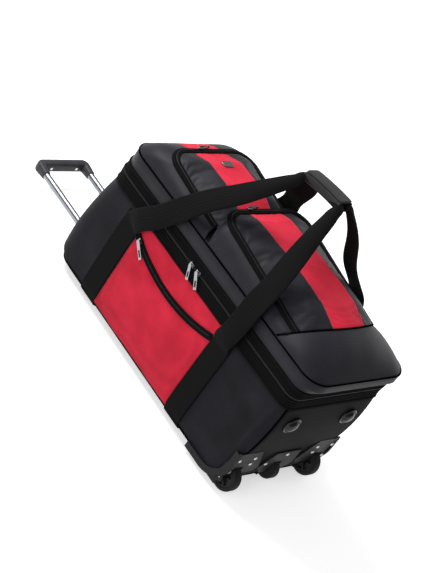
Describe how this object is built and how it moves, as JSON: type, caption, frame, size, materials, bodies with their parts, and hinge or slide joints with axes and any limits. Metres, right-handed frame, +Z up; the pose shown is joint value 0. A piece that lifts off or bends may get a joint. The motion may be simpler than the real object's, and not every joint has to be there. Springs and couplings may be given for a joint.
{
  "type": "rolling duffel bag",
  "caption": "Wheeled soft travel duffel with a hinged zip lid, raised lid pockets, webbing carry handles and a telescopic pull handle.",
  "frame": {"origin": "on the floor, under the middle of the whole bag with its pull handle drawn as stored, the bag lying flat on its base", "axes": "+X towards the wheel end, -X towards the pull handle, -Y out of the front side with the curved zip pocket, +Z up through the lid"},
  "size_m": [0.899, 0.3236, 0.5521],
  "materials": {
    "nylon_black": "satin woven nylon",
    "nylon_red": "matte woven polyester",
    "webbing": "ribbed webbing",
    "zip_tape": "woven tape and nylon coil",
    "foam": "closed cell foam",
    "liner": "thin liner cloth",
    "board": "pressed sheet",
    "guard_plastic": "moulded, fine grain",
    "grip_plastic": "moulded, satin",
    "aluminium": "satin drawn tube",
    "steel": "plated steel",
    "zinc": "plated die casting",
    "tyre": "rubber tread",
    "hub_plastic": "moulded hub"
  },
  "bodies": {
    "bag": {"front_wall": "nylon_black", "rear_wall": "nylon_black", "handle_end_wall": "nylon_black", "wheel_end_wall": "nylon_black", "base_panel": "nylon_black", "base_board": "board", "base_foam": "foam", "lining": "liner", "body_zip_tape": "zip_tape", "front_red_panel": "nylon_red", "rear_red_panel": "nylon_red", "handle_end_strap": "webbing", "wheel_end_strap": "webbing", "front_pocket_zip": "zip_tape", "outer_tubes": "aluminium", "tube_bezel": "guard_plastic", "tube_bracket": "guard_plastic", "front_corner_guard": "guard_plastic", "rear_corner_guard": "guard_plastic", "middle_wheel_housing": "guard_plastic", "wheel_axles": "steel", "guard_rivets": "steel", "end_feet": "guard_plastic", "base_feet": "guard_plastic"},
    "lid": {"lid_strip": "nylon_black", "lid_zip_tape": "zip_tape", "lid_panel": "nylon_black", "lid_pocket_one": "nylon_black", "lid_pocket_two": "nylon_black", "lid_end_cap": "nylon_black", "lid_stripe": "nylon_red", "pocket_one_zip": "zip_tape", "pocket_two_zip": "zip_tape", "badge": "zinc"},
    "front_carry_handle": {"front_carry_webbing": "webbing", "front_wrap_half": "webbing"},
    "rear_carry_handle": {"rear_carry_webbing": "webbing", "rear_wrap_half": "webbing"},
    "pull_handle": {"pull_grip": "grip_plastic", "inner_tubes": "aluminium", "lock_plugs": "guard_plastic", "grip_screws": "steel"},
    "release_button": {"release_button": "guard_plastic"},
    "front_lock_pin": {"front_lock_pin": "steel"},
    "rear_lock_pin": {"rear_lock_pin": "steel"},
    "front_wheel": {"front_tyre": "tyre", "front_hub": "hub_plastic"},
    "middle_wheel": {"middle_wheel": "tyre"},
    "rear_wheel": {"rear_tyre": "tyre", "rear_hub": "hub_plastic"},
    "main_slider_one": {"main_slider_one": "zinc"},
    "main_pull_one": {"main_pull_one": "zinc"},
    "main_slider_two": {"main_slider_two": "zinc"},
    "main_pull_two": {"main_pull_two": "zinc"},
    "front_pocket_slider": {"front_pocket_slider": "zinc"},
    "front_pocket_pull": {"front_pocket_pull": "zinc"},
    "pocket_one_slider": {"pocket_one_slider": "zinc"},
    "pocket_one_pull": {"pocket_one_pull": "zinc"},
    "pocket_two_slider": {"pocket_two_slider": "zinc"},
    "pocket_two_pull": {"pocket_two_pull": "zinc"}
  },
  "joints": [
    {"name": "lid_open", "type": "hinge", "parent": "bag", "child": "lid", "pos_m": [0.1135, 0.1425, 0.2765], "axis": [-1, 0, 0], "range_deg": [0, 75]},
    {"name": "front_carry_swing", "type": "hinge", "parent": "bag", "child": "front_carry_handle", "pos_m": [0.0815, -0.149, 0.224], "axis": [1, 0, 0], "range_deg": [0, 150]},
    {"name": "rear_carry_swing", "type": "hinge", "parent": "bag", "child": "rear_carry_handle", "pos_m": [0.0815, 0.149, 0.224], "axis": [-1, 0, 0], "range_deg": [0, 150]},
    {"name": "pull_handle_slide", "type": "slide", "parent": "bag", "child": "pull_handle", "axis": [-1, 0, 0], "range_m": [-0.18, 0.2]},
    {"name": "release_press", "type": "slide", "parent": "pull_handle", "child": "release_button", "axis": [1, 0, 0], "range_m": [0, 0.004], "stiffness_N_per_m": 400, "springref_m": -0.002},
    {"name": "front_lock_draw", "type": "slide", "parent": "pull_handle", "child": "front_lock_pin", "axis": [0, 0, -1], "range_m": [0, 0.002]},
    {"name": "rear_lock_draw", "type": "slide", "parent": "pull_handle", "child": "rear_lock_pin", "axis": [0, 0, -1], "range_m": [0, 0.002]},
    {"name": "front_wheel_spin", "type": "hinge", "parent": "bag", "child": "front_wheel", "pos_m": [0.4075, -0.117, 0.032], "axis": [0, 1, 0], "continuous": true},
    {"name": "middle_wheel_spin", "type": "hinge", "parent": "bag", "child": "middle_wheel", "pos_m": [0.4075, 0, 0.034], "axis": [0, 1, 0], "continuous": true},
    {"name": "rear_wheel_spin", "type": "hinge", "parent": "bag", "child": "rear_wheel", "pos_m": [0.4075, 0.117, 0.032], "axis": [0, 1, 0], "continuous": true},
    {"name": "main_slider_one_run", "type": "slide", "parent": "bag", "child": "main_slider_one", "axis": [-1, 0, 0], "range_m": [0, 0.225]},
    {"name": "main_pull_one_swing", "type": "hinge", "parent": "main_slider_one", "child": "main_pull_one", "pos_m": [0.0855, -0.148, 0.2765], "axis": [0, -1, 0], "range_deg": [-85, 10]},
    {"name": "main_slider_two_run", "type": "slide", "parent": "bag", "child": "main_slider_two", "axis": [1, 0, 0], "range_m": [0, 0.28]},
    {"name": "main_pull_two_swing", "type": "hinge", "parent": "main_slider_two", "child": "main_pull_two", "pos_m": [0.1075, -0.148, 0.2765], "axis": [0, -1, 0], "range_deg": [-20, 50]},
    {"name": "front_pocket_run", "type": "hinge", "parent": "bag", "child": "front_pocket_slider", "pos_m": [0.0815, -0.147, 0.548], "axis": [0, -1, 0], "range_deg": [0, 40.5]},
    {"name": "front_pocket_pull_swing", "type": "hinge", "parent": "front_pocket_slider", "child": "front_pocket_pull", "pos_m": [-0.04399, -0.15, 0.21058], "axis": [0, 1, 0], "range_deg": [-10, 70]},
    {"name": "pocket_one_run", "type": "slide", "parent": "lid", "child": "pocket_one_slider", "axis": [0, 1, 0], "range_m": [-0.035, 0.06]},
    {"name": "pocket_one_pull_lift", "type": "hinge", "parent": "pocket_one_slider", "child": "pocket_one_pull", "pos_m": [-0.13709, -0.024, 0.37305], "axis": [0.1219, 0, 0.9925], "range_deg": [0, 100]},
    {"name": "pocket_two_run", "type": "slide", "parent": "lid", "child": "pocket_two_slider", "axis": [0, 1, 0], "range_m": [-0.02, 0.075]},
    {"name": "pocket_two_pull_lift", "type": "hinge", "parent": "pocket_two_slider", "child": "pocket_two_pull", "pos_m": [0.05091, -0.04, 0.38705], "axis": [0.1219, 0, 0.9925], "range_deg": [0, 100]}
  ],
  "couplings": [
    {"joint": "front_carry_swing", "follows": "lid_open", "ratio": 2},
    {"joint": "rear_carry_swing", "follows": "lid_open", "ratio": 2},
    {"joint": "front_lock_draw", "follows": "release_press", "ratio": 0.5},
    {"joint": "rear_lock_draw", "follows": "release_press", "ratio": 0.5}
  ]
}
